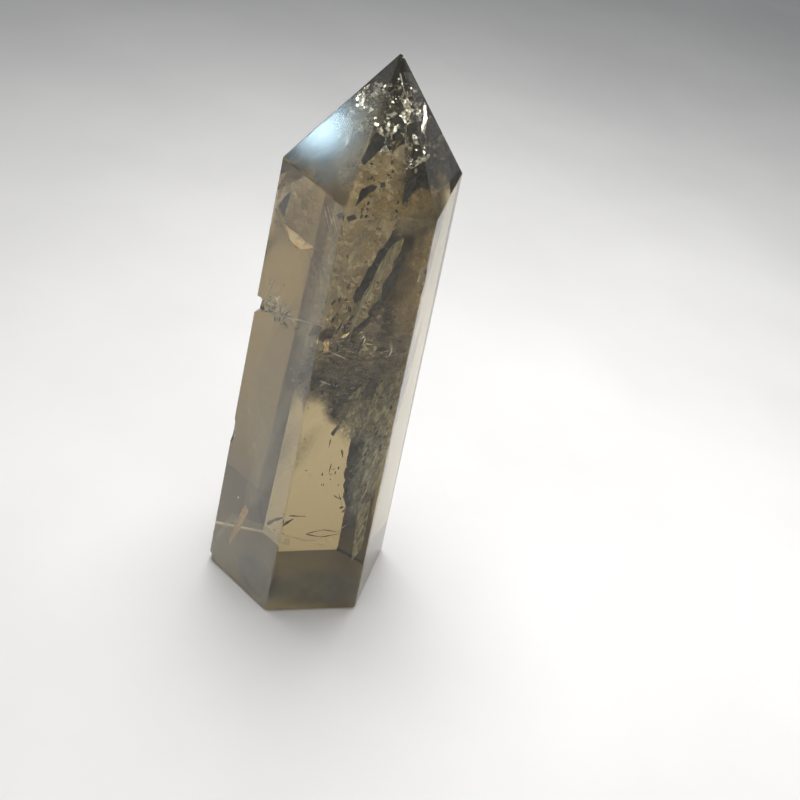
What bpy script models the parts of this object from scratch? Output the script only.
"""A polished smoky quartz tower: one six-sided crystal standing on its sawn base.

The tower is a single solid. Its prism narrows a little from the base to the
shoulders, where six triangular faces start and lean in to the tip. It was ground
by hand, so its corners stand at slightly different distances from the middle and
its shoulders at different heights, one of them well below the others. Every edge
carries a fine ground flat, the base edge a wider one, and five flakes are missing.

Frame: metres, +Z up, origin on the resting face under the tip's middle line. One
prism face looks nearly squarely along -Y, and two long edges lie near the X axis.
"""
import math

import bmesh
import bpy
from mathutils import Matrix, Vector

# ---- Driving dimensions: metres, and degrees anticlockwise from +X seen from above ----
POINT_HEIGHT = 0.1003           # where the six faces of the point would meet
TIP_SHIFT = (0.0005, -0.0003)   # how far the tip stands off the middle
SHOULDER_LEVEL = 0.0821
SHOULDER_SHARE = 0.82           # how much of its width the prism keeps at SHOULDER_LEVEL

# For each long edge: its direction, its distance from the middle at the base, and
# the height of the shoulder where the point starts on it
LONG_EDGES = {
    "right": (0.0, 0.01700, 0.0825),
    "back_right": (60.0, 0.01680, 0.0809),
    "back_left": (119.5, 0.01590, 0.0733),
    "left": (181.0, 0.01705, 0.0832),
    "front_left": (239.5, 0.01625, 0.0817),
    "front_right": (299.6, 0.01680, 0.0806),
}

BASE_FLAT = 0.0004              # ground flat round the resting face
EDGE_FLAT = 0.00012             # ground flat along every other edge

# Missing flakes. along: height on the edge. out: how far outside the edge the flake's
# middle lies. half: half sizes outward, sideways and upward. sharpness: 1 cuts a
# pointed notch, 2 a round scoop. lean: degrees about the outward direction.
# swing: degrees about the upward direction.
FLAKES = {
    "flake_notch": dict(edge="left", along=0.0578, out=0.0002, half=(0.0024, 0.0062, 0.0015),
                        sharpness=1.15, lean=33.0, swing=-13.0),
    "flake_scoop": dict(edge="left", along=0.0318, out=0.0005, half=(0.0011, 0.0021, 0.0031),
                        sharpness=1.9, lean=8.0, swing=0.0),
    "flake_foot": dict(edge="left", along=0.0, out=0.0007, half=(0.0019, 0.0036, 0.0024),
                       sharpness=1.5, lean=10.0, swing=6.0),
    "flake_front": dict(edge="front_right", along=0.0711, out=0.0006, half=(0.0012, 0.0029, 0.0031),
                        sharpness=1.7, lean=24.0, swing=-12.0),
}
TIP_FLAKE_HALF = (0.0009, 0.0011, 0.0007)
TIP_FLAKE_SHIFT = (0.0004, -0.0009, -0.0002)
TIP_FLAKE_SHARPNESS = 2.0
FLAKE_DETAIL = 3                # subdivisions of the sphere a flake's cutter starts from

COLOUR = (0.30, 0.25, 0.17, 1.0)
QUARTZ_IOR = 1.544
POLISH_ROUGHNESS = 0.04


def edge_point(edge, height):
    """The point at a height on a long edge. Every edge leans in by the same share."""
    direction, base_radius, _ = LONG_EDGES[edge]
    radius = base_radius * (1.0 + (SHOULDER_SHARE - 1.0) * height / SHOULDER_LEVEL)
    angle = math.radians(direction)
    return Vector((radius * math.cos(angle), radius * math.sin(angle), height))


def tip_point():
    """Where the six faces of the point would meet, before the tip is ground and chipped."""
    return Vector((*TIP_SHIFT, POINT_HEIGHT))


def clear_scene():
    for thing in list(bpy.data.objects):
        bpy.data.objects.remove(thing, do_unlink=True)


def new_object(name, mesh_builder):
    """Make an object whose mesh a function fills in."""
    mesh = bpy.data.meshes.new(name)
    bm = bmesh.new()
    mesh_builder(bm)
    bmesh.ops.recalc_face_normals(bm, faces=bm.faces)
    bm.to_mesh(mesh)
    bm.free()
    thing = bpy.data.objects.new(name, mesh)
    bpy.context.scene.collection.objects.link(thing)
    return thing


def nearest_edge(place):
    """The long edge whose foot is nearest to a point of the base."""
    return min(LONG_EDGES, key=lambda edge: (edge_point(edge, 0.0) - place).length)


def build_tower(bm):
    """Extrude the base to the shoulders, then draw its top up to the tip."""
    base = bm.faces.new([bm.verts.new(edge_point(edge, 0.0)) for edge in LONG_EDGES])
    extruded = bmesh.ops.extrude_face_region(bm, geom=[base], use_keep_orig=True)["geom"]
    top = next(item for item in extruded if isinstance(item, bmesh.types.BMFace))
    for vert in top.verts:
        edge = nearest_edge(vert.co)
        vert.co = edge_point(edge, LONG_EDGES[edge][2])
    peak = bmesh.ops.poke(bm, faces=[top])["verts"][0]
    peak.co = tip_point()
    weight = bm.edges.layers.float.new("bevel_weight_edge")
    for edge in bm.edges:
        on_base = all(abs(vert.co.z) < EDGE_FLAT for vert in edge.verts)
        edge[weight] = 1.0 if on_base else EDGE_FLAT / BASE_FLAT


def build_flake(bm, half, sharpness):
    """A closed cutter between an octahedron (sharpness 1) and an ellipsoid (sharpness 2)."""
    bmesh.ops.create_icosphere(bm, subdivisions=FLAKE_DETAIL, radius=1.0)
    for vert in bm.verts:
        spread = sum(abs(part) ** sharpness for part in vert.co)
        vert.co *= spread ** (-1.0 / sharpness)
        vert.co.x *= half[0]
        vert.co.y *= half[1]
        vert.co.z *= half[2]


def cut(tower, cutter):
    """Take a cutter's shape out of the tower and leave the cutter out of the model."""
    cutter.hide_render = True
    cutter.display_type = "WIRE"
    boolean = tower.modifiers.new(cutter.name, "BOOLEAN")
    boolean.operation = "DIFFERENCE"
    boolean.solver = "EXACT"
    boolean.object = cutter


def add_edge_flakes(tower):
    for name, flake in FLAKES.items():
        direction = LONG_EDGES[flake["edge"]][0]
        cutter = new_object(name, lambda bm: build_flake(bm, flake["half"], flake["sharpness"]))
        outward = Matrix.Rotation(math.radians(direction), 4, "Z")
        swing = Matrix.Rotation(math.radians(flake["swing"]), 4, "Z")
        lean = Matrix.Rotation(math.radians(flake["lean"]), 4, "X")
        place = edge_point(flake["edge"], flake["along"])
        place += outward @ Vector((flake["out"], 0.0, 0.0))
        cutter.matrix_world = Matrix.Translation(place) @ outward @ swing @ lean
        cut(tower, cutter)


def add_tip_flake(tower):
    cutter = new_object("flake_tip", lambda bm: build_flake(bm, TIP_FLAKE_HALF, TIP_FLAKE_SHARPNESS))
    cutter.location = tip_point() + Vector(TIP_FLAKE_SHIFT)
    cut(tower, cutter)


def smoky_quartz():
    material = bpy.data.materials.new("smoky_quartz")
    material.use_nodes = True
    shader = material.node_tree.nodes["Principled BSDF"]
    shader.inputs["Base Color"].default_value = COLOUR
    shader.inputs["Roughness"].default_value = POLISH_ROUGHNESS
    shader.inputs["Metallic"].default_value = 0.0
    shader.inputs["IOR"].default_value = QUARTZ_IOR
    shader.inputs["Transmission Weight"].default_value = 1.0
    return material


def main():
    clear_scene()
    crystal = new_object("crystal", build_tower)
    crystal.data.materials.append(smoky_quartz())
    flats = crystal.modifiers.new("ground_flats", "BEVEL")
    flats.limit_method = "WEIGHT"
    flats.width = BASE_FLAT
    flats.segments = 1
    add_edge_flakes(crystal)
    add_tip_flake(crystal)


main()
